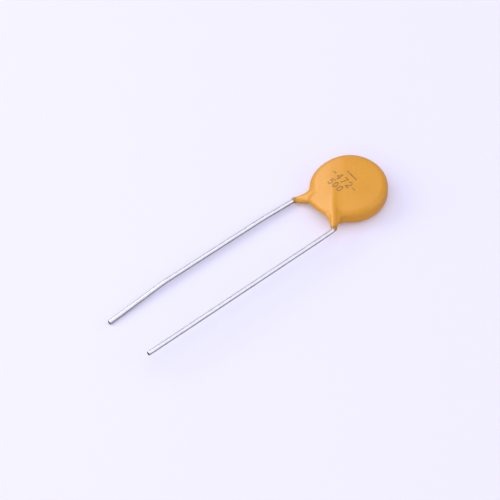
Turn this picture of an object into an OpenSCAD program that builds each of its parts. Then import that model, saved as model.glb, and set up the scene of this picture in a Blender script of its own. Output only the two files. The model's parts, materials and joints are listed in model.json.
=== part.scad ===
// Ceramic disc capacitor, lying flat: a dipped resin coat over a silvered ceramic disc and two wires.

/* [Coat] */
// Diameter of the coated disc
coat_d = 9.3; // [8:0.1:14]
// Thickness of the coated disc between its flat faces
coat_t = 2.62; // [2.4:0.02:4]
// Radius of the rounded rim
rim_r = 0.9; // [0.4:0.05:1.1]
// Resin over each wire, from the leg to the rim
leg_over = 0.225; // [0.1:0.01:0.5]
// Resin over each wire where its leg ends
leg_tip_over = 0.09; // [0.03:0.005:0.1]
// Distance from the disc's centre down to the web's free edge
web_edge = 4.9; // [4.7:0.05:5.3]
// Thickness of the web beside the upper wire
web_t = 1.05; // [0.8:0.05:1.3]
// Radius of the web's rounded edge
web_r = 0.35; // [0.25:0.01:0.6]
// Radius of the shoulder of resin beside the lower wire's leg
shoulder_r = 1.75; // [1:0.05:1.8]
// Fall of the upper face from the upper wire's ridge toward the lower wire, in degrees
face_fall = 17; // [0:0.5:20]

/* [Element] */
// Diameter of the ceramic disc
ceramic_d = 8; // [6:0.1:8.4]
// Thickness of the ceramic disc
ceramic_t = 1; // [0.5:0.05:1.2]
// Diameter of the silver film on each face
film_d = 7.4; // [5:0.1:7.8]
// Thickness of the silver film
film_t = 0.02; // [0.01:0.005:0.03]
// Radius of each solder joint on its film
solder_r = 1.3; // [0.9:0.05:1.4]
// Solder over the wire
solder_over = 0.06; // [0.04:0.01:0.1]

/* [Leads] */
// Distance between the wires where they leave the coat
pitch = 7.5; // [5:0.5:10]
// Diameter of the tinned wire
wire_d = 0.55; // [0.45:0.05:0.6]
// Length of the lower wire's free end below its bend, along the part
free_l = 28.8; // [10:0.1:40]
// Distance from the disc's centre down to the bends
knee_drop = 6; // [5.5:0.1:8]
// Length of wire inside the coat
inner_l = 7.3; // [6.5:0.1:7.6]
// Lean of the upper wire inside the coat
upper_lean = 50; // [35:1:55]
// Lean of the lower wire inside the coat
lower_lean = 33; // [25:1:50]
// Sideways shift of the disc from the middle of the wires
disc_shift = 0.33; // [0:0.01:0.6]
// Rise of the upper wire's free end over its knee
upper_rise = 0.7; // [0:0.1:2]

/* [Hidden] */
$fn = 64;

wire_r = wire_d / 2;
film_top = ceramic_t / 2 + film_t;
solder_gap = 0.02;
bend_over = 0.003;
bend_lap = 0.05;
wire_z = film_top + solder_gap + wire_r;
solder_in = 0.8 * solder_r;
knee_bend = 0.8;

// The resin round a wire swells up to leg_r from the leg's tip, then fades to inner_end_r on the face.
leg_r = wire_r + leg_over;
leg_tip_r = wire_r + leg_tip_over;
inner_end_r = wire_r + 0.045;
upper_tip_in = 0.2;
swell_l = 1.6;
fade_start = 1.8;
fade_l = 4;

// Blending radii: shoulder to disc, web to disc, web's corners, wire ridge to a face, and the fillets at
// the legs, which grow from root_start to root_end away from the disc's middle, differ on the lower wire's
// side, and keep away from both faces
shoulder_blend = 1.97;
web_blend = 1.6;
corner_blend = 1.58;
face_blend = 0.35;
leg_blend = 1.0;
root_start = 4.0;
root_end = 4.7;
lower_share = 1.18;
fillet_below = 0.45;
fillet_span = 0.4;
// Where the lower leg's own rules begin beside the middle, over what width, and how far they lift the limit
lower_leg_start = 1.4;
lower_leg_span = 1.2;
lower_softness = 0.85;

// The web's free edge bows toward the disc, stands clear of each wire's line, and thins out near the rim.
bow = 0.0147;
bow_x = 0.03;
upper_clear = -0.43;
lower_clear = 0.06;
lower_web_t = 1.05;
thin_start = 1.25;
thin_span = 0.88;

// The upper face's crest: how far it stands beside the upper wire, and how round it is
crest_in = 0.2;
crest_round = 0.15;

// Knees and inner ends, measured from the middle of the disc
upper_knee = [pitch / 2 + disc_shift, -knee_drop, wire_z];
lower_knee = [-pitch / 2 + disc_shift, -knee_drop, -wire_z];
upper_in = [-sin(upper_lean), cos(upper_lean), 0];
lower_in = [sin(lower_lean), cos(lower_lean), 0];
upper_end = upper_knee + inner_l * upper_in;
lower_end = lower_knee + inner_l * lower_in;

function unit(v) = v / norm(v);
function mix(a, b, t) = a + (b - a) * t;
function smooth(t) = let (c = min(max(t, 0), 1)) c * c * (3 - 2 * c);
function blend(a, b, k) =
    let (h = min(max(0.5 + 0.5 * (b - a) / k, 0), 1))
    b + (a - b) * h - k * h * (1 - h);
function along(p, a, b) = min(max((p - a) * (b - a) / ((b - a) * (b - a)), 0), 1);

// Resin radius at a distance from the leg's tip: it swells into the leg and fades on the face.
function sleeve_r(l) =
    leg_tip_r + (leg_r - leg_tip_r) * smooth(l / swell_l)
    - (leg_r - inner_end_r) * smooth((l - fade_start) / fade_l);
function sleeve(p, tip, end) =
    let (t = along(p, tip, end))
    norm(p - tip - t * (end - tip)) - sleeve_r(t * norm(end - tip));

// How far a point lies from each wire's line, toward the other wire
function past_upper(p) = (upper_knee[0] - p[0]) * upper_in[1] - (upper_knee[1] - p[1]) * upper_in[0];
function past_lower(p) = (p[0] - lower_knee[0]) * lower_in[1] - (p[1] - lower_knee[1]) * lower_in[0];

// Fall of the upper face past its crest, and the plate's rounded distance from three distances
function fall(w) = tan(face_fall) * (w + sqrt(w * w + crest_round * crest_round)) / 2;
function plate(side, top, bottom, r) =
    let (a = side + r, b = max(top, bottom) + r)
    norm([max(a, 0), max(b, 0)]) + min(max(a, b), 0) - r;

// The plate's upper face falls past the crest; its lower face is flat, and rises where the web is thin.
function upper_z(p) = coat_t / 2 - fall(past_upper(p) - crest_in);
function lower_z(p) =
    let (
        t = mix(lower_web_t, web_t, min(max(p[0] / (0.8 * pitch) + 0.5, 0), 1)),
        thin = thinning(p)
    )
    mix(-coat_t / 2, max(upper_z(p) - t, -coat_t / 2), thin);
function thinning(p) =
    smooth((norm([p[0], p[1]]) - coat_d / 2 + thin_start) / thin_span)
    * smooth(past_upper(p)) * smooth(past_lower(p));

// Height over the upper face, squared up to its slope
function over_face(p) =
    (p[2] - upper_z(p)) * cos(face_fall * smooth(2 * (past_upper(p) - crest_in) + 0.5));

// The web lies between both wires and the free edge; below, side distances are negative inside.
function web_side(p) =
    let (
        edge = p[1] + web_edge + bow * pow(p[0] - bow_x, 2),
        upper = past_upper(p) - upper_clear,
        lower = past_lower(p) - lower_clear
    )
    -blend(blend(edge, upper, corner_blend), lower, corner_blend);

// Disc, shoulder and web are one plate.
shoulder = [-0.247 * coat_d, -0.137 * coat_d];
function body(p) =
    let (
        disc = norm([p[0], p[1]]) - coat_d / 2,
        round_side = blend(disc, norm([p[0] - shoulder[0], p[1] - shoulder[1]]) - shoulder_r, shoulder_blend),
        side = blend(round_side, web_side(p), web_blend)
    )
    plate(side, over_face(p), lower_z(p) - p[2], mix(rim_r, web_r, thinning(p)));

// Signed distance to the resin's surface, below zero inside
upper_tip = upper_knee + upper_tip_in * upper_in;
function coat_field(p) =
    let (
        t = (norm([p[0], p[1]]) - root_start) / (root_end - root_start),
        at_lower_leg = smooth((-p[0] - lower_leg_start) / lower_leg_span),
        k = mix(face_blend, leg_blend, smooth(t)) * mix(1, lower_share, at_lower_leg),
        under_top = smooth((over_face(p) + fillet_below) / fillet_span),
        over_bottom = smooth((lower_z(p) - p[2] + fillet_below) / fillet_span),
        at_face = max(under_top * (1 - lower_softness * at_lower_leg), over_bottom),
        sleeves = min(sleeve(p, upper_tip, upper_end), sleeve(p, lower_knee, lower_end))
    )
    blend(body(p), sleeves, mix(k, face_blend, at_face));

// Height of the resin's middle surface: midway between the plate's faces, and at the wires' heights in the legs
middle_start = 3.8;
middle_span = 1.2;
leg_half = 1;
leg_side = 0.8;
function near_wire(past) = smooth((leg_half - abs(past)) / leg_side);
function middle(x, y) =
    let (
        p = [x, y, 0],
        plate_z = (upper_z(p) + lower_z(p)) / 2,
        out = smooth((norm([x, y]) - middle_start) / middle_span),
        at_upper = out * near_wire(past_upper(p)),
        at_lower = out * near_wire(past_lower(p))
    )
    plate_z + at_upper * (wire_z - plate_z) - at_lower * (wire_z + plate_z);
function at_middle(q) = [q[0], q[1], middle(q[0], q[1])];

// Distance along a ray to the resin's surface, by halving between lo and hi
halvings = 14;
function reach(from, dir, lo = 0, hi = coat_t, n = halvings) =
    let (m = (lo + hi) / 2)
    n == 0 ? m
    : coat_field(from + m * dir) < 0 ? reach(from, dir, m, hi, n - 1)
    : reach(from, dir, lo, m, n - 1);

// Distance from the hub, over the middle surface, to where the resin is only core_depth deep
hub = [0, -1.5];
core_depth = 0.25;
function core_reach(dir, lo = 0, hi = coat_d, n = halvings) =
    let (m = (lo + hi) / 2)
    n == 0 ? m
    : coat_field(at_middle(hub + m * dir)) < -core_depth ? core_reach(dir, m, hi, n - 1)
    : core_reach(dir, lo, m, n - 1);

// The part lies on the ridge that the lower wire raises near its leg, so the disc's middle is this high.
disc_z = max([for (l = [1:0.25:4]) wire_z + reach(lower_knee + l * lower_in, [0, 0, -1])]);

// Handling has left the free wires slightly bent: the places of the bends and the upper tip, from each knee
upper_kink = [0.11, -0.08 * free_l, 0.17 * upper_rise];
upper_drift = [0.55, -free_l - 0.4, upper_rise];
lower_kink = [-0.2, -0.16 * free_l, 0.05];
lower_hook = [-0.35, -0.7 * free_l, 0.03];

// Routes, each from the inner end to the free end, and the radius of each bend
upper_route = [upper_end, upper_knee, upper_knee + upper_kink, upper_knee + upper_drift];
upper_bends = [0, knee_bend, 30, 0];
lower_rest = [lower_knee[0], lower_knee[1] - free_l, wire_r - disc_z];
lower_route = [lower_end, lower_knee, lower_knee + lower_kink, lower_knee + lower_hook, lower_rest];
lower_bends = [0, knee_bend, 30, 20, 0];

// The origin is the middle of the whole part's footprint, on the floor.
x_min = min(-coat_d / 2, lower_route[3][0] - wire_r);
x_max = max(coat_d / 2, upper_route[3][0] + wire_r);
y_min = upper_route[3][1];
y_max = coat_d / 2;
origin = [(x_min + x_max) / 2, (y_min + y_max) / 2, -disc_z];

// Spokes from the hub, in degrees, closer together across the legs
function fan(start, end, count) = [for (i = [0:count - 1]) start + (end - start) * i / count];
upper_dir = atan2(upper_tip[1] - hub[1], upper_tip[0] - hub[0]);
lower_dir = atan2(lower_knee[1] - hub[1], lower_knee[0] - hub[0]) + 360;
leg_span = 9;
spokes = concat(
    fan(upper_dir - leg_span, upper_dir + leg_span, 14),
    fan(upper_dir + leg_span, lower_dir - leg_span, 46),
    fan(lower_dir - leg_span, lower_dir + leg_span, 14),
    fan(lower_dir + leg_span, upper_dir - leg_span + 360, 12)
);
face_rings = 8;
rim_rings = 8;

// The surface goes from the hub over the upper face, round the rim and back over the lower face.
function coat_points() =
    let (
        n = len(spokes),
        core = [for (a = spokes) let (d = [cos(a), sin(a)]) hub + d * core_reach(d)],
        out = [for (i = [0:n - 1]) let (t = unit(core[(i + 1) % n] - core[(i + n - 1) % n])) [t[1], -t[0]]],
        disc = [for (j = [1:face_rings]) let (f = sin(90 * j / face_rings))
            [for (i = [0:n - 1]) at_middle(hub + (core[i] - hub) * f)]]
    )
    concat(
        [at_middle(hub) + [0, 0, reach(at_middle(hub), [0, 0, 1])]],
        [for (ring = disc) for (p = ring) p + [0, 0, reach(p, [0, 0, 1])]],
        [for (j = [1:rim_rings - 1]) for (i = [0:n - 1])
            let (
                a = 90 - 180 * j / rim_rings,
                d = [cos(a) * out[i][0], cos(a) * out[i][1], sin(a)],
                p = at_middle(core[i])
            )
            p + d * reach(p, d)],
        [for (j = [face_rings - 1:-1:0]) for (p = disc[j]) p - [0, 0, reach(p, [0, 0, -1])]],
        [at_middle(hub) - [0, 0, reach(at_middle(hub), [0, 0, -1])]]
    );

function coat_faces(n, rings) =
    concat(
        [for (i = [0:n - 1]) [0, 1 + i, 1 + (i + 1) % n]],
        [for (j = [0:rings - 2]) for (i = [0:n - 1])
            let (a = 1 + j * n + i, b = 1 + j * n + (i + 1) % n) each [[a, a + n, b + n], [a, b + n, b]]],
        [for (i = [0:n - 1]) let (a = 1 + (rings - 1) * n) [a + i, 1 + rings * n, a + (i + 1) % n]]
    );

// Turns children to three given axes and moves them to a point
module set_along(x, y, z, at) {
    multmatrix([for (i = [0:2]) [x[i], y[i], z[i], at[i]]])
        children();
}

// A cylinder between two points
module rod(a, b, r) {
    v = unit(b - a);
    x = unit(cross([0, 0, 1], v));
    set_along(x, cross(v, x), v, a)
        cylinder(h = norm(b - a), r = r);
}

// A round wire along a route, with an arc of its own radius at each bend
module wire(route, bends, r) {
    last = len(route) - 1;
    dirs = [for (i = [0:last - 1]) unit(route[i + 1] - route[i])];
    turns = [for (i = [0:last]) i == 0 || i == last ? 0 : acos(dirs[i - 1] * dirs[i])];
    cuts = [for (i = [0:last]) bends[i] * tan(turns[i] / 2)];
    for (i = [0:last - 1])
        rod(route[i] + dirs[i] * (cuts[i] - (i > 0 ? bend_lap : 0)),
            route[i + 1] - dirs[i] * (cuts[i + 1] - (i < last - 1 ? bend_lap : 0)), r);
    for (i = [1:last - 1])
        let (
            u = dirs[i - 1],
            z = unit(cross(u, dirs[i])),
            x = cross(u, z),
            c = route[i] - u * cuts[i] - x * bends[i]
        )
        set_along(x, u, z, c)
            rotate_extrude(angle = turns[i], $fn = 256)
                translate([bends[i], 0])
                    circle(r = r + bend_over, $fn = 48);
}

// A dome of solder on its film, round the wire
module solder_dome() {
    dome_h = solder_gap + wire_d + solder_over;
    ball_r = (solder_r * solder_r + dome_h * dome_h) / (2 * dome_h);
    intersection() {
        translate([0, 0, dome_h - ball_r])
            sphere(r = ball_r, $fn = 96);
        translate([-2 * solder_r, -2 * solder_r, 0])
            cube([4 * solder_r, 4 * solder_r, 2 * dome_h]);
    }
}

module ceramic_disc_shape() {
    translate([0, 0, -ceramic_t / 2])
        cylinder(h = ceramic_t, d = ceramic_d, $fn = 128);
}

module upper_film_shape() {
    translate([0, 0, ceramic_t / 2])
        cylinder(h = film_t, d = film_d, $fn = 128);
}

module lower_film_shape() {
    translate([0, 0, -film_top])
        cylinder(h = film_t, d = film_d, $fn = 128);
}

module upper_wire_shape() {
    wire(upper_route, upper_bends, wire_r);
}

module lower_wire_shape() {
    wire(lower_route, lower_bends, wire_r);
}

module upper_solder_shape() {
    at = upper_end - solder_in * upper_in;
    translate([at[0], at[1], film_top])
        solder_dome();
}

module lower_solder_shape() {
    at = lower_end - solder_in * lower_in;
    translate([at[0], at[1], -film_top])
        mirror([0, 0, 1])
            solder_dome();
}

module placed(tint) {
    color(tint)
        translate(-origin)
            children();
}

module ceramic_disc() {
    placed("tan") ceramic_disc_shape();
}

module upper_electrode() {
    placed("gainsboro") upper_film_shape();
}

module lower_electrode() {
    placed("gainsboro") lower_film_shape();
}

module upper_solder() {
    placed("silver")
        difference() {
            upper_solder_shape();
            upper_wire_shape();
        }
}

module lower_solder() {
    placed("silver")
        difference() {
            lower_solder_shape();
            lower_wire_shape();
        }
}

module upper_lead() {
    placed("lightgray") upper_wire_shape();
}

module lower_lead() {
    placed("lightgray") lower_wire_shape();
}

module coating() {
    points = coat_points();
    placed("goldenrod")
        difference() {
            polyhedron(points, coat_faces(len(spokes), 2 * face_rings + rim_rings - 1));
            ceramic_disc_shape();
            upper_film_shape();
            lower_film_shape();
            upper_solder_shape();
            lower_solder_shape();
            upper_wire_shape();
            lower_wire_shape();
        }
}

ceramic_disc();
upper_electrode();
lower_electrode();
upper_solder();
lower_solder();
upper_lead();
lower_lead();
coating();
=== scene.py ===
# %% [markdown]
# # A dipped ceramic disc capacitor
# The real object is a small disc of ceramic between two silver films, with a wire soldered to each
# film. The whole element is dipped in ochre epoxy resin, which runs down the wires and sets as two
# legs with a web between them. Here the resin, the wires and the print are surfaces worked out with
# numpy, and the hidden pieces keep their CAD shapes and get finishes.

# %% The fixed frame
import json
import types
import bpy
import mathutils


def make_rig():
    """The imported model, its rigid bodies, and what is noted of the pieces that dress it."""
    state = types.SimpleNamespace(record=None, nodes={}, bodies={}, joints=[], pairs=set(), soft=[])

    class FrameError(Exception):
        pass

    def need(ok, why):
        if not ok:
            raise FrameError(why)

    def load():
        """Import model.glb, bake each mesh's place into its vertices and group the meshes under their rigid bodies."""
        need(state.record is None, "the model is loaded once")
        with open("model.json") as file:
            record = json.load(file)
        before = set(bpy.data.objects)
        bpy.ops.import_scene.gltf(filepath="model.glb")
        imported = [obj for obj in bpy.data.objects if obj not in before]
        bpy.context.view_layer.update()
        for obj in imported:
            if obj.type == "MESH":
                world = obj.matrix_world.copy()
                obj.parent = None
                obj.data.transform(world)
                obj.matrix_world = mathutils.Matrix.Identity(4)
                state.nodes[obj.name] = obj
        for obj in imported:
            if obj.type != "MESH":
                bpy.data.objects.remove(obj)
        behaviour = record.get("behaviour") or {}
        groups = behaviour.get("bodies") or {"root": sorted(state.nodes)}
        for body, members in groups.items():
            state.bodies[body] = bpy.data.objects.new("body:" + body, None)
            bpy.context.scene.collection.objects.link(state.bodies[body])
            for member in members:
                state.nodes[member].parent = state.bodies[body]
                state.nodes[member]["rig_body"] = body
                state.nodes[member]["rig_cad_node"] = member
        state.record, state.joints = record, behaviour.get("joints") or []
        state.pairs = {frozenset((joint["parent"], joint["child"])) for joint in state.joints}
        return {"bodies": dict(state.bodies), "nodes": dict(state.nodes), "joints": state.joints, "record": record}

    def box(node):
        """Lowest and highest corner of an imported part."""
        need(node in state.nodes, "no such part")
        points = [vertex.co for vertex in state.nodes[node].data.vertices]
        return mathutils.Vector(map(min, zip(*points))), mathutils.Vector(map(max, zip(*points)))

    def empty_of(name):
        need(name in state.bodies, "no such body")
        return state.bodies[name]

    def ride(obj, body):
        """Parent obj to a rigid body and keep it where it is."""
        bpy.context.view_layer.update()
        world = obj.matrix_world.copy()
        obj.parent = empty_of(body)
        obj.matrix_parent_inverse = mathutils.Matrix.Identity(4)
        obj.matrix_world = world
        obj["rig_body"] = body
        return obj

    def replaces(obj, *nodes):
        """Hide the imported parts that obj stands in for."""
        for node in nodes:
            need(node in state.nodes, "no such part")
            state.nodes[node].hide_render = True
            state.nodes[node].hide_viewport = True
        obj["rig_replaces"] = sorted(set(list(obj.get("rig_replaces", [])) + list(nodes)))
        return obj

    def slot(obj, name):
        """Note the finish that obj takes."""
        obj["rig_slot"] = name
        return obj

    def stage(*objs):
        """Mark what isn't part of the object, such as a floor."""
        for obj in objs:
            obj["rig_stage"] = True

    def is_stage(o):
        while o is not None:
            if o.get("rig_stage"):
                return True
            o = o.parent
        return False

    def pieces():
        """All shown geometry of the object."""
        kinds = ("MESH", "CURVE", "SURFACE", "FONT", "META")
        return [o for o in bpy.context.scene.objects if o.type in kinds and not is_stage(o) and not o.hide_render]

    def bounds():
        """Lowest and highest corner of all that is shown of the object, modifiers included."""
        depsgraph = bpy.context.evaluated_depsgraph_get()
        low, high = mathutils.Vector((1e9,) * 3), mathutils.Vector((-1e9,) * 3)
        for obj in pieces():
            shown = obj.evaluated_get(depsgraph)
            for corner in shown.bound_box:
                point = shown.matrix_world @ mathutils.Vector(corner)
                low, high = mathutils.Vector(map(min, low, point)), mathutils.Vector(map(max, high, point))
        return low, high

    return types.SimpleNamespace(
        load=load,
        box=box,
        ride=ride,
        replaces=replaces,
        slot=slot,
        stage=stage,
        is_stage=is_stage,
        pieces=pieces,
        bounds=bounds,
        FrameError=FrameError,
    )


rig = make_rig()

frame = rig.load()
import bpy, json, math
import numpy as np
from mathutils import Vector

cad_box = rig.bounds()
low, high = (np.array(v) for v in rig.box("ceramic_disc"))
middle_m = (low + high) / 2
print("nodes:", sorted(frame["nodes"]), "disc's middle (mm):", (middle_m * 1000).round(3))

# %% [markdown]
# ## Camera
# A long lens looks at a small part from well above it, so that parallel wires stay nearly parallel.
# The camera's direction comes from two angles, and it is aimed at a point beside the disc's
# middle, so that the disc stands up and to the right and both wires run out to the lower left.

# %% Camera
turn, tilt = math.radians(50.6), math.radians(53.0)
ahead = np.array([-math.sin(turn), math.cos(turn), 0.0])
right = np.array([math.cos(turn), math.sin(turn), 0.0])
upward = ahead * math.sin(tilt) + np.array([0, 0, math.cos(tilt)])
look = ahead * math.cos(tilt) - np.array([0, 0, math.sin(tilt)])
frame_w, distance = 0.06105, 0.6
aim = middle_m - 0.01219 * right - 0.00748 * upward

camera = bpy.data.objects.new("camera", bpy.data.cameras.new("camera"))
camera.data.sensor_width = 36
camera.data.lens = 36 * distance / frame_w
camera.data.clip_start, camera.data.clip_end = 0.01, 10
camera.location = aim - look * distance
camera.rotation_mode = "QUATERNION"
camera.rotation_quaternion = Vector(look).to_track_quat("-Z", "Y")
bpy.context.collection.objects.link(camera)
bpy.context.scene.camera = camera
print("lens %.0f mm" % camera.data.lens)

# %% [markdown]
# ## Helpers for meshes and materials
# Every new piece is a grid of points: rings or stations along one parameter and points round the
# other. One helper joins neighbouring points into quads, another closes both ends with fans, and a
# third puts arrays into a mesh. The arrays are in millimetres from the disc's middle, which keeps the
# numbers readable.

# %% Mesh helpers
def band_faces(start, count):
    """Quads between two closed rings of count points, the first starting at start, the next after it."""
    i = np.arange(count)
    j = (i + 1) % count
    return np.stack([start + i, start + count + i, start + count + j, start + j], axis=1)


def closed_faces(n_rings, count):
    """Faces of rings closed at both ends by fans. The two end points are 0 and 1, and rings start at 2."""
    i = np.arange(count)
    j = (i + 1) % count
    last = 2 + (n_rings - 1) * count
    bands = np.concatenate([band_faces(2 + k * count, count) for k in range(n_rings - 1)])
    first_fan = np.stack([0 * i, 2 + i, 2 + j], axis=1)
    last_fan = np.stack([0 * i + 1, last + j, last + i], axis=1)
    return bands.tolist() + first_fan.tolist() + last_fan.tolist()


def add_piece(name, points_mm, faces, finish, slot):
    """A mesh object with its place in its mesh, riding on the body; points in mm from the disc's middle."""
    mesh = bpy.data.meshes.new(name)
    mesh.from_pydata((points_mm * 0.001 + middle_m).tolist(), [], faces)
    mesh.polygons.foreach_set("use_smooth", np.ones(len(mesh.polygons), dtype=bool))
    mesh.materials.append(finish)
    piece = bpy.data.objects.new(name, mesh)
    bpy.context.collection.objects.link(piece)
    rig.ride(piece, "root")
    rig.slot(piece, slot)
    print(name, len(mesh.vertices), "points", len(mesh.polygons), "faces")
    return piece


def set_attribute(piece, name, kind, values):
    """Stores one number or vector per point for the material to read."""
    data = piece.data.attributes.new(name, kind, "POINT").data
    data.foreach_set("value" if kind == "FLOAT" else "vector", np.asarray(values, dtype=np.float32).ravel())

# %% [markdown]
# A material is a graph of nodes. These helpers keep each graph short: one makes a material and hands
# back its tree and its Principled shader, and the other adds a node, sets its plain values and links
# its inputs.

# %% Node helpers
def srgb(r, g, b):
    """The linear colour of an 8-bit screen colour: the usual power curve, with its straight foot."""
    c = np.array([r, g, b]) / 255
    lin = np.where(c <= 0.04045, c / 12.92, ((c + 0.055) / 1.055) ** 2.4)
    return (*lin.tolist(), 1.0)


def new_finish(name, **values):
    """A material with its tree and Principled shader; values are set on the shader's own sockets."""
    finish = bpy.data.materials.new(name)
    finish.use_nodes = True
    tree = finish.node_tree
    shader = next(n for n in tree.nodes if n.type == "BSDF_PRINCIPLED")
    for key, value in values.items():
        shader.inputs[key.replace("_", " ")].default_value = value
    return finish, tree, shader


def add(tree, kind, links=None, values=None, **settings):
    """A node of a kind, with settings as properties, values on its inputs, and links from other sockets."""
    n = tree.nodes.new(kind)
    for key, value in settings.items():
        setattr(n, key, value)
    for key, value in (values or {}).items():
        n.inputs[key].default_value = value
    for key, source in (links or {}).items():
        tree.links.new(source, n.inputs[key])
    return n


def mix_colour(tree, factor, a, b):
    """Colour a where the factor is 0 and b where it is 1; each may be a colour or a socket."""
    n = add(tree, "ShaderNodeMix", data_type="RGBA")
    for index, value in ((0, factor), (6, a), (7, b)):
        if hasattr(value, "is_linked"):
            tree.links.new(value, n.inputs[index])
        else:
            n.inputs[index].default_value = value
    return n.outputs[2]


def ramp(tree, source, low_in, high_in, low_out=0.0, high_out=1.0):
    """A socket eased from one range to another and held at both ends."""
    ends = {"From Min": low_in, "From Max": high_in, "To Min": low_out, "To Max": high_out}
    n = add(tree, "ShaderNodeMapRange", {"Value": source}, ends, interpolation_type="SMOOTHSTEP")
    return n.outputs[0]

# %% [markdown]
# ## Fine grain, shared by several finishes
# Resin, fired silver, solder and ceramic all vary slightly from point to point. One node group gives
# that variation: two sizes of noise added together. Each material gives the group its own coordinates
# and grain size, and uses the value for colour, roughness or bumps.

# %% Grain group
grain = bpy.data.node_groups.new("grain", "ShaderNodeTree")
grain.interface.new_socket("Vector", in_out="INPUT", socket_type="NodeSocketVector")
grain.interface.new_socket("Scale", in_out="INPUT", socket_type="NodeSocketFloat")
grain.interface.new_socket("Value", in_out="OUTPUT", socket_type="NodeSocketFloat")
g_in, g_out = add(grain, "NodeGroupInput"), add(grain, "NodeGroupOutput")
finer_by, finer_share = 4.3, 0.35
noise_mean = 0.5 * (1 + finer_share)
coarse = add(grain, "ShaderNodeTexNoise", {"Vector": g_in.outputs[0], "Scale": g_in.outputs[1]},
             {"Detail": 2.0})
finer_scale = add(grain, "ShaderNodeMath", {0: g_in.outputs[1]}, {1: finer_by}, operation="MULTIPLY")
finer = add(grain, "ShaderNodeTexNoise", {"Vector": g_in.outputs[0], "Scale": finer_scale.outputs[0]},
            {"Detail": 3.0})
total = add(grain, "ShaderNodeMath", {0: finer.outputs[0], 2: coarse.outputs[0]}, {1: finer_share},
            operation="MULTIPLY_ADD")
level = add(grain, "ShaderNodeMath", {0: total.outputs[0]}, {1: noise_mean}, operation="SUBTRACT")
grain.links.new(level.outputs[0], g_out.inputs[0])


def add_grain(tree, vector, scale):
    """The grain group in a tree; its value lies around 0, mostly within 0.3 of it."""
    n = add(tree, "ShaderNodeGroup", node_tree=grain)
    tree.links.new(vector, n.inputs["Vector"])
    n.inputs["Scale"].default_value = scale
    return n.outputs[0]


def disc_place(tree):
    """Object coordinates in millimetres from the disc's middle."""
    place = add(tree, "ShaderNodeTexCoord").outputs["Object"]
    shift = add(tree, "ShaderNodeVectorMath", {0: place}, {1: tuple(middle_m)}, operation="SUBTRACT")
    in_mm = add(tree, "ShaderNodeVectorMath", {0: shift.outputs[0]}, {3: 1000.0}, operation="SCALE")
    return in_mm.outputs[0]

# %% [markdown]
# ## The resin's shape
# Dipped resin has no edges of its own: surface tension rounds every join. A distance field gives that
# look directly. The disc, its shoulder and the web are one plate with a rounded edge. A sleeve round
# each wire stands for its leg and for the ridge that the wire raises under the resin. A smooth minimum
# melts them together, softly at the legs' sides and tightly on both faces. The upper face falls away on
# one side of the upper wire, as the resin ran that way.

# %% Resin sizes, in mm
coat_d, coat_t, rim_r = 9.3, 2.62, 0.9
leg_r, leg_tip_r, tip_in, inner_end_r = 0.5, 0.365, 0.2, 0.32
swell_l, fade_start, fade_l = 1.6, 1.8, 4
pitch, disc_shift, knee_drop, inner_l = 7.5, 0.33, 6.0, 7.3
wire_r, wire_z = 0.275, 0.815
upper_lean, lower_lean = math.radians(50), math.radians(33)

upper_knee = np.array([pitch / 2 + disc_shift, -knee_drop, wire_z])
lower_knee = np.array([-pitch / 2 + disc_shift, -knee_drop, -wire_z])
upper_in = np.array([-math.sin(upper_lean), math.cos(upper_lean), 0])
lower_in = np.array([math.sin(lower_lean), math.cos(lower_lean), 0])
upper_end, lower_end = upper_knee + inner_l * upper_in, lower_knee + inner_l * lower_in
upper_tip = upper_knee + tip_in * upper_in
shoulder, shoulder_r = coat_d * np.array([-0.247, -0.137]), 1.75
web_edge, bow, bow_x, web_t, web_r = 4.9, 0.0147, 0.03, 1.05, 0.35
upper_clear, lower_clear = -0.43, 0.06
thin_start, thin_span = 1.25, 0.88
face_fall, crest_in, crest_round, crest_ease = math.radians(17.0), 0.2, 0.15, 0.5
shoulder_blend, web_blend, corner_blend, face_blend, leg_blend = 1.97, 1.6, 1.58, 0.35, 1.0
root_start, root_span = 4.0, 0.7
fillet_below, fillet_span = 0.45, 0.4
lower_leg_start, lower_leg_span, lower_share, lower_softness = 1.4, 1.2, 1.18, 0.85
print("knees (mm):", upper_knee, lower_knee)

# %% Resin field
def smooth(t):
    """0 below 0, 1 above 1, and three t squared less two t cubed between."""
    t = np.clip(t, 0, 1)
    return t * t * (3 - 2 * t)


def melt(a, b, k):
    """The smaller of two distances, rounded off by a parabola where they differ by less than k."""
    h = np.clip(0.5 + 0.5 * (b - a) / k, 0, 1)
    return b + (a - b) * h - k * h * (1 - h)


def capsule(p, a, b):
    """Distance from points to the segment from a to b, and how far along it the nearest place is."""
    t = np.clip((p - a) @ (b - a) / ((b - a) @ (b - a)), 0, 1)
    return np.linalg.norm(p - a - t[..., None] * (b - a), axis=-1), t * np.linalg.norm(b - a)


def sleeve(p, tip, end):
    """Distance to the resin round a wire, whose radius swells after the tip and then fades on the face."""
    gap, along = capsule(p, tip, end)
    radius = leg_tip_r + (leg_r - leg_tip_r) * smooth(along / swell_l)
    return gap - radius + (leg_r - inner_end_r) * smooth((along - fade_start) / fade_l)


def past_upper(p):
    """How far points lie from the upper wire's line, toward the lower wire."""
    return (upper_knee[0] - p[..., 0]) * upper_in[1] - (upper_knee[1] - p[..., 1]) * upper_in[0]


def past_lower(p):
    """How far points lie from the lower wire's line, toward the upper wire."""
    return (p[..., 0] - lower_knee[0]) * lower_in[1] - (p[..., 1] - lower_knee[1]) * lower_in[0]


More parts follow.
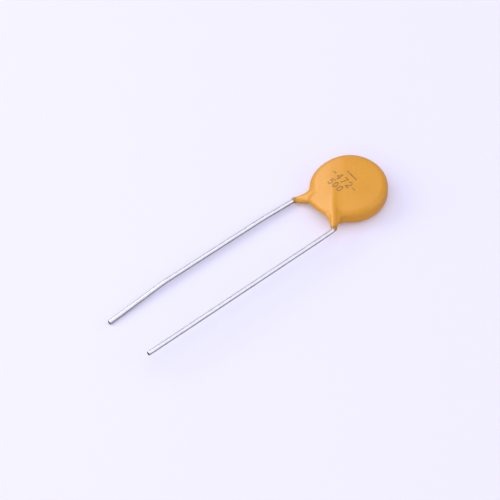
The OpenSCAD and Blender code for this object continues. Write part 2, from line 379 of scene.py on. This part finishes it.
def faces(p):
    """Heights of the plate's faces, and how far it has thinned out toward the web: 0 to 1.

    The upper face falls past a crest beside the upper wire; the lower one is flat, and rises in the web."""
    w = past_upper(p) - crest_in
    upper_z = coat_t / 2 - math.tan(face_fall) * (w + np.sqrt(w * w + crest_round ** 2)) / 2
    disc = np.hypot(p[..., 0], p[..., 1]) - coat_d / 2
    thin = smooth((disc + thin_start) / thin_span) * smooth(past_upper(p)) * smooth(past_lower(p))
    return upper_z, -coat_t / 2 + thin * np.maximum(upper_z - web_t + coat_t / 2, 0), thin


def over_face(p, upper_z):
    """Height over the upper face, squared up to its slope."""
    return (p[..., 2] - upper_z) * np.cos(face_fall * smooth((past_upper(p) - crest_in) / crest_ease + 0.5))


def web_side(p):
    """Distance to the web's outline, negative inside: a bowed free edge and both wires, corners melted."""
    edge = p[..., 1] + web_edge + bow * (p[..., 0] - bow_x) ** 2
    corner = melt(edge, past_upper(p) - upper_clear, corner_blend)
    return -melt(corner, past_lower(p) - lower_clear, corner_blend)


def body(p):
    """Disc, shoulder and web as one plate with a rounded edge."""
    upper_z, lower_z, thin = faces(p)
    disc = np.hypot(p[..., 0], p[..., 1]) - coat_d / 2
    bulge = np.hypot(p[..., 0] - shoulder[0], p[..., 1] - shoulder[1]) - shoulder_r
    side = melt(melt(disc, bulge, shoulder_blend), web_side(p), web_blend)
    r = rim_r + (web_r - rim_r) * thin
    a, b = side + r, np.maximum(over_face(p, upper_z), lower_z - p[..., 2]) + r
    return np.hypot(np.maximum(a, 0), np.maximum(b, 0)) + np.minimum(np.maximum(a, b), 0) - r


def resin(p):
    """The whole coat: body and sleeves melted together, more softly at the legs' sides than on a face."""
    sleeves = np.minimum(sleeve(p, upper_tip, upper_end), sleeve(p, lower_knee, lower_end))
    at_root = smooth((np.hypot(p[..., 0], p[..., 1]) - root_start) / root_span)
    at_lower_leg = smooth((-p[..., 0] - lower_leg_start) / lower_leg_span)
    k = (face_blend + (leg_blend - face_blend) * at_root) * (1 + (lower_share - 1) * at_lower_leg)
    upper_z, lower_z, _ = faces(p)
    at_top = smooth((over_face(p, upper_z) + fillet_below) / fillet_span)
    at_top = at_top * (1 - lower_softness * at_lower_leg)
    at_bottom = smooth((lower_z - p[..., 2] + fillet_below) / fillet_span)
    return melt(body(p), sleeves, k + (face_blend - k) * np.maximum(at_top, at_bottom))

# %% [markdown]
# ## From the field to a grid
# The surface is where the field is zero. Rays start inside the resin, and each is halved again and
# again until it ends on the surface, all rays at once as arrays. Rays go straight up and down from
# the disc, and fan out round the rim, so one grid runs from the middle of the upper face over the rim
# to the middle of the lower face. The points round the rim are evenly spaced along the outline, so
# the legs get as many as they need.

# %% Rays to the surface
hub = np.array([0.0, -1.5])
wire_sheet_start, wire_sheet_span, wire_near, wire_ease = 3.8, 1.2, 1.0, 0.8


def on_middle(xy):
    """Points of the resin's middle sheet: midway between the plate's faces, at the wires in the legs."""
    upper_z, lower_z, _ = faces(xy)
    z = (upper_z + lower_z) / 2
    away = smooth((np.hypot(xy[..., 0], xy[..., 1]) - wire_sheet_start) / wire_sheet_span)
    at_upper, at_lower = (away * smooth((wire_near - np.abs(past(xy))) / wire_ease)
                          for past in (past_upper, past_lower))
    return np.concatenate([xy, (z + at_upper * (wire_z - z) - at_lower * (wire_z + z))[..., None]], axis=-1)


def cast(start, aim_dir, far=3.0, steps=26):
    """Each ray's point on the surface, by halving the stretch between inside and outside."""
    lo, hi = np.zeros(start.shape[:-1]), np.full(start.shape[:-1], far)
    for _ in range(steps):
        mid = (lo + hi) / 2
        inside = resin(start + mid[..., None] * aim_dir) < 0
        lo, hi = np.where(inside, mid, lo), np.where(inside, hi, mid)
    return start + lo[..., None] * aim_dir


def core_line(count, depth=0.2, dense=7200, steps=30, reach=6):
    """Points inside the rim at one depth, with outward directions, evenly spaced along the outline."""
    a = np.linspace(0, 2 * math.pi, dense, endpoint=False)
    d = np.stack([np.cos(a), np.sin(a)], axis=-1)
    lo, hi = np.zeros(dense), np.full(dense, coat_d)
    for _ in range(steps):
        mid = (lo + hi) / 2
        inside = resin(on_middle(hub + mid[:, None] * d)) < -depth
        lo, hi = np.where(inside, mid, lo), np.where(inside, hi, mid)
    core = hub + lo[:, None] * d
    run = np.roll(core, -reach, axis=0) - np.roll(core, reach, axis=0)
    out = np.stack([run[:, 1], -run[:, 0]], axis=-1) / np.linalg.norm(run, axis=-1, keepdims=True)
    rim = core + depth * out
    step = sum(np.linalg.norm(np.roll(v, -1, axis=0) - v, axis=-1) for v in (rim, core))
    length = np.concatenate([[0], np.cumsum(step)])
    at = np.linspace(0, length[-1], count, endpoint=False)
    pick = lambda v: np.stack([np.interp(at, length, np.append(v[:, k], v[0, k])) for k in (0, 1)], axis=-1)
    core, out = pick(core), pick(out)
    return core, out / np.linalg.norm(out, axis=-1, keepdims=True)

# %% Coat grid
swells = ((2.5, -1.7, 0.9, 0.03), (2.2, 1.6, 0.6, -0.03), (3.3, 2.2, 0.7, 0.03), (-1.8, 2.2, 1.2, 0.02))
crown_h, crown_at, crown_fall, crown_ease = 0.09, (0.7, 1.5), (0.011, 0.009), 1.6
wear, wear_start, wear_span = 0.75, 4.0, 4.0
relief_end, relief_ease = 5.1, 0.8


def relief(x, y):
    """How far the upper face lies over its plain shape, in mm.

    Three things add up: a low crown right of the crest, a parabola each way; soft round swells, each
    (x, y, radius, height); and a crest that grows rounder away from the leg, which takes its top down.
    The crest is a hyperbola, so a rounder one lies lower by the difference of two hyperbolas."""
    bumps = sum(h * np.exp(-((x - cx) ** 2 + (y - cy) ** 2) / (2 * r * r)) for cx, cy, r, h in swells)
    p = np.stack([x, y], axis=-1)
    w, along = past_upper(p) - crest_in, (p - upper_knee[:2]) @ upper_in[:2]
    rounder = crest_round + wear * smooth((along - wear_start) / wear_span)
    worn = math.tan(face_fall) * (np.hypot(w, rounder) - np.hypot(w, crest_round)) / 2
    fall = crown_fall[0] * np.maximum(x - crown_at[0], 0) ** 2 + crown_fall[1] * (y - crown_at[1]) ** 2
    return bumps + smooth(-w / crown_ease) * (crown_h - fall) - worn


def add_relief(p):
    """Points lifted by the relief: in full on the upper face, less down the rim, not at all on the legs."""
    upper_z, lower_z, _ = faces(p)
    share = (2 * p[..., 2] - upper_z - lower_z) / (upper_z - lower_z)
    fade = smooth(share) * smooth((relief_end - np.hypot(p[..., 0], p[..., 1])) / relief_ease)
    lifted = p.copy()
    lifted[..., 2] += relief(p[..., 0], p[..., 1]) * fade
    return lifted


def coat_grid(count=448, face_rings=52, rim_rings=26):
    """Rings from the upper face's hub over the rim to the lower face's hub, and the two hub points."""
    core, out = core_line(count)
    share = np.sin(np.linspace(0, math.pi / 2, face_rings + 1))[1:, None, None]
    sheet = on_middle(hub + (core - hub) * share)
    up = np.array([0.0, 0, 1])
    top, bottom = add_relief(cast(sheet, up)), cast(sheet, -up)[::-1]
    a = np.linspace(math.pi / 2, -math.pi / 2, rim_rings + 1)[1:-1, None]
    fan = np.stack([np.cos(a) * out[:, 0], np.cos(a) * out[:, 1], np.sin(a) + 0 * out[:, 0]], axis=-1)
    side = add_relief(cast(on_middle(core) + 0 * fan, fan))
    rings = np.concatenate([top, side, bottom])
    centre = on_middle(hub)
    poles = np.stack([add_relief(cast(centre[None], up))[0], cast(centre[None], -up)[0]])
    return rings, poles


rings, poles = coat_grid()
coat_points = np.concatenate([poles, rings.reshape(-1, 3)])
coat_faces = closed_faces(*rings.shape[:2])
print("coat box (mm):", coat_points.min(0).round(3), coat_points.max(0).round(3))

# %% [markdown]
# ## The resin's finish
# Pigmented epoxy is opaque and satin. Its colour isn't quite even: noise on Object coordinates gives
# slow clouds of colour, fine specks that are also a little shinier, and a faint orange-peel bump. An
# attribute that grows toward each leg's tip darkens the colour there, and more so over the last part.

# %% Resin finish
resin_finish, tree, shader = new_finish("ochre_epoxy", IOR=1.58)
place = disc_place(tree)
clouds = ramp(tree, add_grain(tree, place, 0.35), -0.12, 0.12)
specks = add_grain(tree, place, 9.0)
colour = mix_colour(tree, clouds, srgb(220, 151, 10), srgb(224, 156, 14))
shade = mix_colour(tree, ramp(tree, specks, -0.3, 0.3), srgb(217, 148, 12), colour)
tips = add(tree, "ShaderNodeAttribute", attribute_name="tip").outputs["Fac"]
shade = mix_colour(tree, tips, shade, srgb(206, 142, 22))
shade = mix_colour(tree, ramp(tree, tips, 0.75, 1.0), shade, srgb(166, 122, 24))
tree.links.new(shade, shader.inputs["Base Color"])
rough = ramp(tree, specks, -0.3, 0.3, 0.34, 0.42)
tree.links.new(rough, shader.inputs["Roughness"])
peel = add_grain(tree, place, 2.2)
bump = add(tree, "ShaderNodeBump", {"Height": peel}, {"Strength": 0.25, "Distance": 0.00002})
tree.links.new(bump.outputs[0], shader.inputs["Normal"])

# %% Coat and its tips, in mm
tip_l, beside_leg = 0.9, 1.0
coat = add_piece("coat", coat_points, coat_faces, resin_finish, "epoxy_coat")
along_leg = np.full(len(coat_points), np.inf)
for leg in ((upper_tip, upper_end), (lower_knee, lower_end)):
    gap, along = capsule(coat_points, *leg)
    along_leg = np.where(gap > beside_leg, along_leg, np.minimum(along_leg, along))
set_attribute(coat, "tip", "FLOAT", smooth(1 - along_leg / tip_l))
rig.replaces(coat, "coating")

# %% [markdown]
# ## The wires
# Each wire is a circle carried along a route of straight stretches and small bends. The route is the
# CAD wire's own. The ends were cut with pliers, so each has a narrow rounded edge and a slightly
# domed face of bare steel under the tin.

# %% Wire routes, in mm
free_l, upper_rise = 28.8, 0.7
floor_z = -middle_m[2] * 1000
upper_route = [upper_end, upper_knee, upper_knee + [0.11, -0.08 * free_l, 0.17 * upper_rise],
               upper_knee + [0.55, -free_l - 0.4, upper_rise]]
lower_route = [lower_end, lower_knee, lower_knee + [-0.2, -0.16 * free_l, 0.05],
               lower_knee + [-0.35, -0.7 * free_l, 0.03],
               np.array([lower_knee[0], -knee_drop - free_l, floor_z + wire_r])]
upper_bends, lower_bends = [0.8, 30], [0.8, 30, 20]


def bent_path(route, bends, arc_points=12, straight_step=0.4):
    """The route's stations: straight stretches, and at each corner an arc that touches both sides."""
    route = np.array(route)
    dirs = np.diff(route, axis=0) / np.linalg.norm(np.diff(route, axis=0), axis=1, keepdims=True)
    start, out = route[0], []
    for k, radius in enumerate(bends, start=1):
        u, v = dirs[k - 1], dirs[k]
        angle = math.acos(np.clip(u @ v, -1, 1))
        cut = radius * math.tan(angle / 2)
        side = (v - u * math.cos(angle)) / math.sin(angle)
        a, b = route[k] - cut * u, route[k] + cut * v
        t = np.linspace(0, 1, max(2, int(np.linalg.norm(a - start) / straight_step)))[:-1, None]
        out.append(start + (a - start) * t)
        w = np.linspace(0, angle, arc_points)[:, None]
        out.append((a + radius * (np.sin(w) * u + (1 - np.cos(w)) * side))[:-1])
        start = b
    t = np.linspace(0, 1, max(2, int(np.linalg.norm(route[-1] - start) / straight_step)))[:, None]
    return np.concatenate(out + [start + (route[-1] - start) * t])

# %% Wire surface
edge_r, edge_rings, dome_h, dome_in, tip_h, end_rings = 0.05, 5, 0.01, 0.55, 0.004, 2


def wire_grid(path, sides=40):
    """A circle carried along a path. Rings shrink at both ends in a quarter round, then close on a point.

    Gives the rings, the two end points, and each point's place in the straightened wire: across, over
    and along it in mm."""
    run = np.gradient(path, axis=0)
    run /= np.linalg.norm(run, axis=1, keepdims=True)
    across = np.cross(run, [0, 0, 1.0])
    across /= np.linalg.norm(across, axis=1, keepdims=True)
    over = np.cross(across, run)
    along = np.concatenate([[0], np.cumsum(np.linalg.norm(np.diff(path, axis=0), axis=1))])
    q = np.linspace(0, math.pi / 2, edge_rings)
    left = np.stack([edge_r * (1 - np.cos(q)), edge_r * (1 - np.sin(q))], axis=1)
    left = np.concatenate([[[-dome_h, wire_r * dome_in]], left])
    s = np.concatenate([left[:, 0], along[1:-1], along[-1] - left[::-1, 0]])
    r = wire_r - np.concatenate([left[:, 1], 0 * along[1:-1], left[::-1, 1]])
    at = lambda v: np.stack([np.interp(s, along, v[:, k]) for k in range(3)], axis=1)
    centre = at(path) + np.where(s < 0, s, np.where(s > along[-1], s - along[-1], 0))[:, None] * at(run)
    a = np.linspace(0, 2 * math.pi, sides, endpoint=False)
    spokes = np.cos(a)[None, :, None] * at(across)[:, None] + np.sin(a)[None, :, None] * at(over)[:, None]
    rings = centre[:, None] + r[:, None, None] * spokes
    tips = np.stack([centre[0] - tip_h * run[0], centre[-1] + tip_h * run[-1]])
    flat = np.stack([r[:, None] * np.cos(a), r[:, None] * np.sin(a), s[:, None] + 0 * a], axis=-1)
    flat_tips = np.array([[0, 0, s[0]], [0, 0, s[-1]]])
    return rings, tips, np.concatenate([flat_tips, flat.reshape(-1, 3)])


def add_wire(name, route, bends, finish):
    """One lead: its grid, its faces, and the straightened coordinates and end mask for its finish."""
    rings, tips, flat = wire_grid(bent_path(route, bends))
    n, sides = rings.shape[:2]
    points = np.concatenate([tips, rings.reshape(-1, 3)])
    outward = [face[::-1] for face in closed_faces(n, sides)]
    piece = add_piece(name, points, outward, finish, "tinned_wire")
    set_attribute(piece, "straightened", "FLOAT_VECTOR", flat)
    k = np.arange(n)
    cut = np.repeat((k < end_rings) | (k >= n - end_rings), sides)
    set_attribute(piece, "cut", "FLOAT", np.concatenate([[1, 1], cut]))
    return piece

# %% [markdown]
# ## The wires' finish
# Tin plating is a bright, slightly milky metal. Drawing the wire leaves faint lines along it, which
# must follow each bend, so their noise reads the straightened coordinates and is stretched along the
# wire. Low on the wire's right side, away from the lamps on the left, painted shade darkens the colour
# and draws a dark line. The cut ends are darker steel.

# %% Tin finish
tin_finish, tree, shader = new_finish("bright_tin", Metallic=1.0)
flat_place = add(tree, "ShaderNodeAttribute", attribute_name="straightened").outputs["Vector"]
stretched = add(tree, "ShaderNodeMapping", {"Vector": flat_place}, {"Scale": (1.0, 1.0, 0.04)})
lines = add_grain(tree, stretched.outputs[0], 14.0)
blotches = add_grain(tree, flat_place, 1.2)
tin = mix_colour(tree, ramp(tree, blotches, -0.25, 0.25), srgb(205, 203, 208), srgb(216, 214, 219))
tin = mix_colour(tree, ramp(tree, lines, -0.3, 0.3, 0.0, 0.2), tin, srgb(184, 182, 188))
around = add(tree, "ShaderNodeSeparateXYZ", {0: flat_place})
# Painted shade: the colour is darker low on the wire's right side, away from the lamps on the left.
painted_shade_side = add(tree, "ShaderNodeMath", {0: around.outputs["X"], 1: around.outputs["Y"]}, operation="ADD")
painted_shade_full, painted_shade_start, painted_shade_share = -0.38, -0.27, 0.8
painted_shade = ramp(tree, painted_shade_side.outputs[0], painted_shade_full, painted_shade_start, painted_shade_share, 0.0)
tin = mix_colour(tree, painted_shade, tin, srgb(147, 144, 151))
cut_mask = add(tree, "ShaderNodeAttribute", attribute_name="cut").outputs["Fac"]
tin = mix_colour(tree, cut_mask, tin, srgb(92, 86, 82))
tree.links.new(tin, shader.inputs["Base Color"])
tree.links.new(ramp(tree, blotches, -0.3, 0.3, 0.24, 0.34), shader.inputs["Roughness"])
bump = add(tree, "ShaderNodeBump", {"Height": lines}, {"Strength": 0.15, "Distance": 0.000006})
tree.links.new(bump.outputs[0], shader.inputs["Normal"])

# %% Both wires
upper_wire = add_wire("upper_wire", upper_route, upper_bends, tin_finish)
lower_wire = add_wire("lower_wire", lower_route, lower_bends, tin_finish)
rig.replaces(upper_wire, "upper_lead")
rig.replaces(lower_wire, "lower_lead")

# %% [markdown]
# ## The print
# Such a part is stamped with small figures in thin brown ink. Each figure is a few strokes: lines and
# arcs in a box one unit high. Every stroke is a flat ribbon laid on the resin by the same rays that
# made the coat, and it stands about a hundredth of a millimetre proud.

# %% Strokes of plain figures
def line(*corners):
    """A stroke through corners, with points every few hundredths of a unit."""
    corners = np.array(corners, dtype=float)
    step = [np.linspace(a, b, 9)[:-1] for a, b in zip(corners[:-1], corners[1:])]
    return np.concatenate(step + [corners[-1:]])


def arc(cx, cy, rx, ry, start, end):
    """A stroke along an ellipse, its angles in degrees."""
    a = np.radians(np.linspace(start, end, 25))
    return np.stack([cx + rx * np.cos(a), cy + ry * np.sin(a)], axis=1)


figures = {
    "0": [arc(0, 0.5, 0.27, 0.5, 90, 450)],
    "2": [np.concatenate([arc(0, 0.72, 0.27, 0.28, 160, -40), line((-0.28, 0), (0.3, 0))])],
    "4": [line((0.14, 0), (0.14, 1), (-0.3, 0.32), (0.32, 0.32))],
    "5": [np.concatenate([line((0.26, 1), (-0.2, 1), (-0.24, 0.56)),
                          arc(-0.02, 0.32, 0.3, 0.32, 125, -140)])],
    "7": [line((-0.28, 1), (0.28, 1), (-0.06, 0))],
    "-": [line((-0.24, 0.5), (0.24, 0.5))],
    "_": [line((-0.9, 0.5), (0.9, 0.5))],
}

# %% Ribbons on the resin
stroke_w, ink_lift, skirt, inner_share, overrun = 0.17, 0.012, 0.02, 0.4, 0.35


def ribbon(stroke):
    """A closed flat strip along a stroke, four points wide and a little longer than the stroke.

    It lies just over the resin, and a skirt under it is sunk into the resin."""
    run = np.gradient(stroke, axis=0)
    run /= np.linalg.norm(run, axis=1, keepdims=True) + 1e-9
    side = np.stack([-run[:, 1], run[:, 0]], axis=1) * stroke_w / 2
    edges = np.stack([stroke + k * side for k in (1, inner_share, -inner_share, -1)], axis=1)
    edges[0] -= run[0] * stroke_w * overrun
    edges[-1] += run[-1] * stroke_w * overrun
    start = np.concatenate([edges, np.zeros((*edges.shape[:2], 1))], axis=-1)
    top = add_relief(cast(start, np.array([0.0, 0, 1]))) + [0, 0, ink_lift]
    sunk = top - [0, 0, ink_lift + skirt]
    return np.concatenate([top, sunk[:, ::-1]], axis=1)


def print_row(text, centre, advance, height):
    """Ribbons for a row of figures centred on a place of the upper face, read along X."""
    strips = []
    for k, character in enumerate(text):
        x0 = centre[0] + (k - (len(text) - 1) / 2) * advance
        for stroke in figures[character]:
            strips.append(ribbon(stroke * height + [x0, centre[1] - height / 2]))
    return strips


strips = print_row("-472-", (-0.63, -0.38), 0.885, 0.85)
strips += print_row("500", (-0.85, -1.6), 0.8, 0.8)
strips += print_row("_", (-0.6, 0.8), 1, 0.9)
ink_points, ink_faces = [], []
for strip in strips:
    start, (n, m) = sum(map(len, ink_points)), strip.shape[:2]
    ink_points.append(strip.reshape(-1, 3))
    ink_faces += np.concatenate([band_faces(start + k * m, m) for k in range(n - 1)])[:, ::-1].tolist()
    last_ring = start + (n - 1) * m
    ink_faces += [list(range(start, start + m)), list(range(last_ring, last_ring + m))[::-1]]
print(len(strips), "strokes")

# %% Ink finish
ink_finish, tree, shader = new_finish("thin_brown_ink", Roughness=0.55)
patches = ramp(tree, add_grain(tree, disc_place(tree), 0.9), -0.15, 0.15)
thin = ramp(tree, add_grain(tree, disc_place(tree), 4.0), -0.05, 0.3, 0.0, 0.7)
ink = mix_colour(tree, patches, srgb(156, 108, 32), srgb(172, 126, 54))
tree.links.new(mix_colour(tree, thin, ink, srgb(214, 156, 60)), shader.inputs["Base Color"])
add_piece("print", np.concatenate(ink_points), ink_faces, ink_finish, "epoxy_coat")

# %% [markdown]
# ## The hidden pieces
# The ceramic disc, its silver films and the solder can't be seen from outside, but the model can be
# cut open. They keep their CAD shapes and get simple finishes of their own, each from the grain group
# at another size.

# %% Hidden finishes
def grainy(name, dark, light, scale, bump_mm, **values):
    """A finish whose colour and bumps follow one grain."""
    finish, tree, shader = new_finish(name, **values)
    value = add_grain(tree, disc_place(tree), scale)
    colour = mix_colour(tree, ramp(tree, value, -0.25, 0.25), dark, light)
    tree.links.new(colour, shader.inputs["Base Color"])
    bump = add(tree, "ShaderNodeBump", {"Height": value}, {"Strength": 0.4, "Distance": bump_mm * 0.001})
    tree.links.new(bump.outputs[0], shader.inputs["Normal"])
    return finish


ceramic = grainy("fired_ceramic", srgb(186, 158, 122), srgb(208, 184, 150), 5.0, 0.01, Roughness=0.65)
silver = grainy("fired_silver", srgb(206, 204, 198), srgb(226, 224, 220), 8.0, 0.005,
                Roughness=0.45, Metallic=1.0)
solder = grainy("solder", srgb(196, 196, 200), srgb(220, 220, 222), 2.0, 0.01, Roughness=0.25, Metallic=1.0)
hidden = {"ceramic_disc": ceramic, "upper_electrode": silver, "lower_electrode": silver,
          "upper_solder": solder, "lower_solder": solder, "coating": resin_finish,
          "upper_lead": tin_finish, "lower_lead": tin_finish}
for o in bpy.data.objects:
    name = o.name.split(".")[0]
    if o.type == "MESH" and name in hidden:
        if not o.material_slots:
            o.data.materials.append(hidden[name])
        for s in o.material_slots:
            s.material = hidden[name]
        print(name, "->", hidden[name].name)

# %% [markdown]
# ## Floor and light
# The part lies on a pale sheet in even light from all round. Five wide soft lamps shape it a little,
# from above, left, front, far left and right, and a sixth gives only the pale sheen on the facet that
# falls to the left. The sheet is mostly lit like any surface. A small share of it glows, for the camera
# alone, which keeps it pale and its shadows shallow. In reflections it is a dim grey, so that the
# undersides of the wires draw a dark line.

# %% Floor
floor_mesh = bpy.data.meshes.new("floor")
floor_mesh.from_pydata([(-3, -3, 0), (3, -3, 0), (3, 3, 0), (-3, 3, 0)], [], [(0, 1, 2, 3)])
floor = bpy.data.objects.new("floor", floor_mesh)
bpy.context.collection.objects.link(floor)
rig.stage(floor)
floor_finish, tree, shader = new_finish("pale_sheet", Base_Color=srgb(240, 238, 253), Roughness=0.8)
shader.inputs["Specular IOR Level"].default_value = 0.1
paths = add(tree, "ShaderNodeLightPath")
camera_share, mirrored_share = 0.15, 0.7
for_camera = add(tree, "ShaderNodeMath", {0: paths.outputs["Is Camera Ray"]}, {1: camera_share},
                 operation="MULTIPLY")
share = add(tree, "ShaderNodeMath", {0: paths.outputs["Is Glossy Ray"], 2: for_camera.outputs[0]},
            {1: mirrored_share}, operation="MULTIPLY_ADD")
glow_colour = mix_colour(tree, paths.outputs["Is Camera Ray"], srgb(120, 116, 128), srgb(243, 241, 255))
glow = add(tree, "ShaderNodeEmission", {"Color": glow_colour}, {"Strength": 1.0})
both = add(tree, "ShaderNodeMixShader", {0: share.outputs[0], 1: shader.outputs[0], 2: glow.outputs[0]})
sheet_out = next(n for n in tree.nodes if n.type == "OUTPUT_MATERIAL")
tree.links.new(both.outputs[0], sheet_out.inputs["Surface"])
floor_mesh.materials.append(floor_finish)

# %% Lamps
def soft_lamp(name, side, back, up, distance, size, energy):
    """A round lamp shining at the disc from a direction: to the camera's right, away from it, and up."""
    way = side * right + back * ahead + np.array([0, 0, up])
    way /= np.linalg.norm(way)
    data = bpy.data.lights.new(name, "AREA")
    data.shape, data.size, data.energy = "DISK", size, energy
    lamp = bpy.data.objects.new(name, data)
    lamp.location = middle_m + distance * way
    lamp.rotation_mode = "QUATERNION"
    lamp.rotation_quaternion = Vector(-way).to_track_quat("-Z", "Y")
    bpy.context.collection.objects.link(lamp)
    print(name, "%.2f W" % energy)
    return lamp


soft_lamp("overhead_lamp", 0.0, 0.05, 1.0, 0.5, 0.6, 0.91)
soft_lamp("left_lamp", -0.7, 0.35, 0.64, 0.5, 0.31, 0.49)
soft_lamp("front_lamp", -0.35, -0.8, 0.5, 0.6, 0.6, 0.68)
soft_lamp("fill_lamp", -0.95, 0.0, 0.35, 0.5, 0.4, 0.76)
soft_lamp("right_lamp", 0.9, -0.2, 0.5, 0.6, 0.5, 0.53)
sheen_lamp = soft_lamp("sheen_lamp", -0.5, 0.6, 0.64, 0.5, 0.31, 0.6)
sheen_lamp.visible_diffuse = False

# %% World
world = bpy.data.worlds.new("studio")
bpy.context.scene.world = world
world.use_nodes = True
tree = world.node_tree
background = next(n for n in tree.nodes if n.type == "BACKGROUND")
paths = add(tree, "ShaderNodeLightPath")
around, mirrored = (0.42, 0.417, 0.584, 1), (0.72, 0.71, 0.805, 1)
unseen = mix_colour(tree, paths.outputs["Is Glossy Ray"], around, mirrored)
seen = mix_colour(tree, paths.outputs["Is Camera Ray"], unseen, srgb(243, 241, 255))
tree.links.new(seen, background.inputs["Color"])
bpy.context.scene.view_settings.view_transform = "Standard"

# %% Sizes and the end
json.dump({"cad": [list(v) for v in cad_box], "model": [list(v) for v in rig.bounds()]}, open("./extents.json", "w"))
print(open("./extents.json").read())
